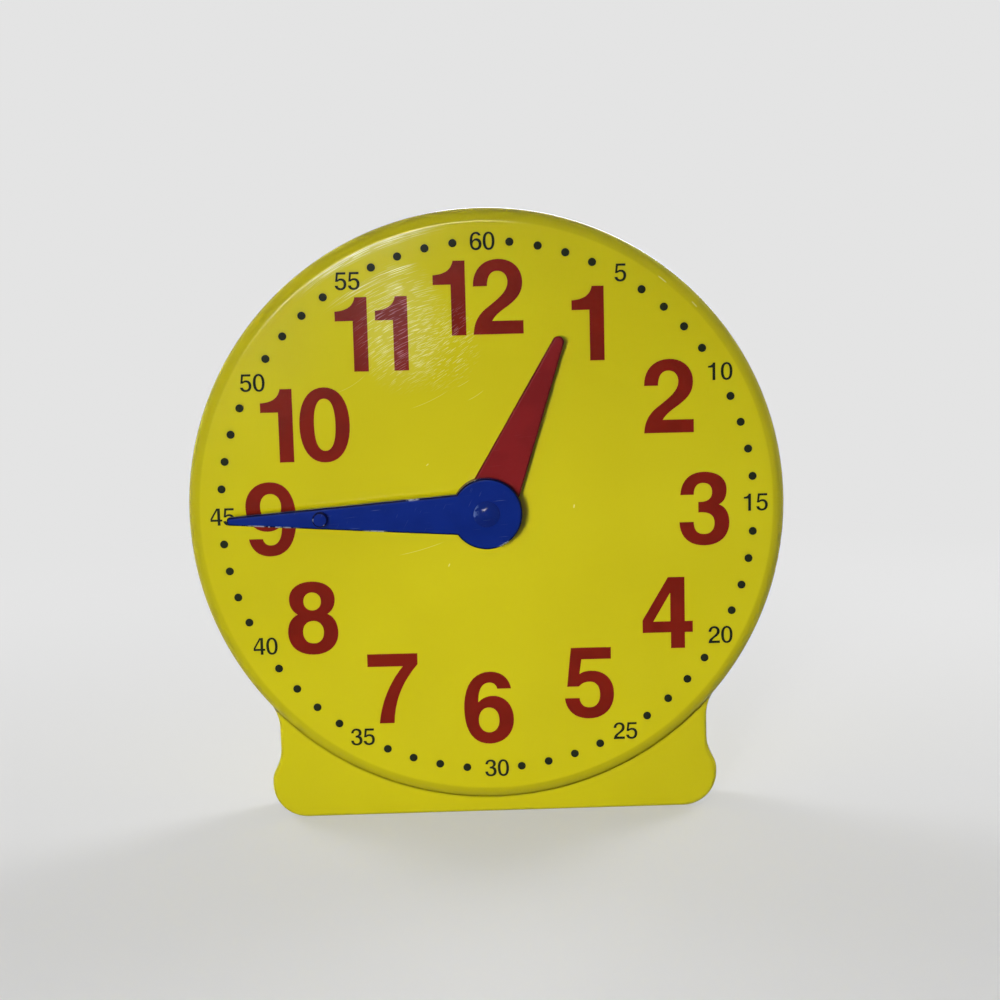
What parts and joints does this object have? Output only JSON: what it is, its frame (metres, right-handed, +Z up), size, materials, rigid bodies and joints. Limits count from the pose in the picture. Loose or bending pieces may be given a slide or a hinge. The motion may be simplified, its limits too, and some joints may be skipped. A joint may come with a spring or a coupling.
{
  "type": "geared teaching clock",
  "caption": "Free-standing geared demonstration clock: yellow dial drum on a plinth, with a red hour hand coupled through gears to a blue minute hand.",
  "frame": {"origin": "on the surface the clock stands on, under the middle of its bounding box", "axes": "+Z up; the dial faces -Y, so +X is to the right of a person who reads the dial; the hub axis runs along Y at z = 180.9 mm"},
  "size_m": [0.343, 0.0574, 0.3524],
  "materials": {
    "yellow_shell_plastic": "glossy moulded yellow plastic, finely scratched from handling",
    "yellow_cover_plastic": "fine satin moulded yellow plastic",
    "screw_steel": "zinc-plated steel",
    "nylon_bush": "natural nylon",
    "lock_ring_plastic": "black nylon",
    "bridge_plastic": "pale grey moulded plastic",
    "shaft_steel": "ground steel",
    "spring_steel": "spring steel",
    "washer_nylon": "natural nylon",
    "compound_gear_plastic": "natural acetal",
    "minute_pinion_plastic": "blue acetal",
    "hour_wheel_plastic": "red acetal",
    "red_hand_plastic": "satin moulded red plastic",
    "blue_hand_plastic": "satin moulded blue plastic",
    "blue_cap_plastic": "satin moulded blue plastic",
    "hour_numeral_ink": "red printing ink on the dial",
    "minute_numeral_ink": "near-black printing ink on the dial"
  },
  "bodies": {
    "case": {"front_shell": "yellow_shell_plastic", "rear_cover": "yellow_cover_plastic", "rear_cover_screws": "screw_steel", "dial_bush": "nylon_bush", "bush_lock_ring": "lock_ring_plastic", "gear_bridge": "bridge_plastic", "bridge_bush": "nylon_bush", "bridge_screws": "screw_steel", "compound_stud": "shaft_steel", "compound_washer": "washer_nylon", "dial_washer": "washer_nylon"},
    "minute_works": {"minute_hand": "blue_hand_plastic", "minute_hand_cap": "blue_cap_plastic", "minute_arbor": "shaft_steel", "minute_pinion": "minute_pinion_plastic", "pinion_pin": "shaft_steel", "friction_washer": "spring_steel", "arbor_clip": "spring_steel", "hand_washer": "washer_nylon"},
    "hour_works": {"hour_hand": "red_hand_plastic", "hour_wheel": "hour_wheel_plastic"},
    "compound_works": {"compound_gear": "compound_gear_plastic"}
  },
  "joints": [
    {"name": "minute_hand_turn", "type": "hinge", "parent": "case", "child": "minute_works", "pos_m": [0, 0, 0.1809], "axis": [0, 1, 0], "continuous": true},
    {"name": "hour_hand_turn", "type": "hinge", "parent": "case", "child": "hour_works", "pos_m": [0, 0, 0.1809], "axis": [0, 1, 0], "continuous": true},
    {"name": "compound_gear_turn", "type": "hinge", "parent": "case", "child": "compound_works", "pos_m": [0, 0, 0.1359], "axis": [0, 1, 0], "continuous": true}
  ],
  "couplings": [
    {"joint": "compound_gear_turn", "follows": "minute_hand_turn", "ratio": -0.33333},
    {"joint": "hour_hand_turn", "follows": "minute_hand_turn", "ratio": 0.083333}
  ]
}
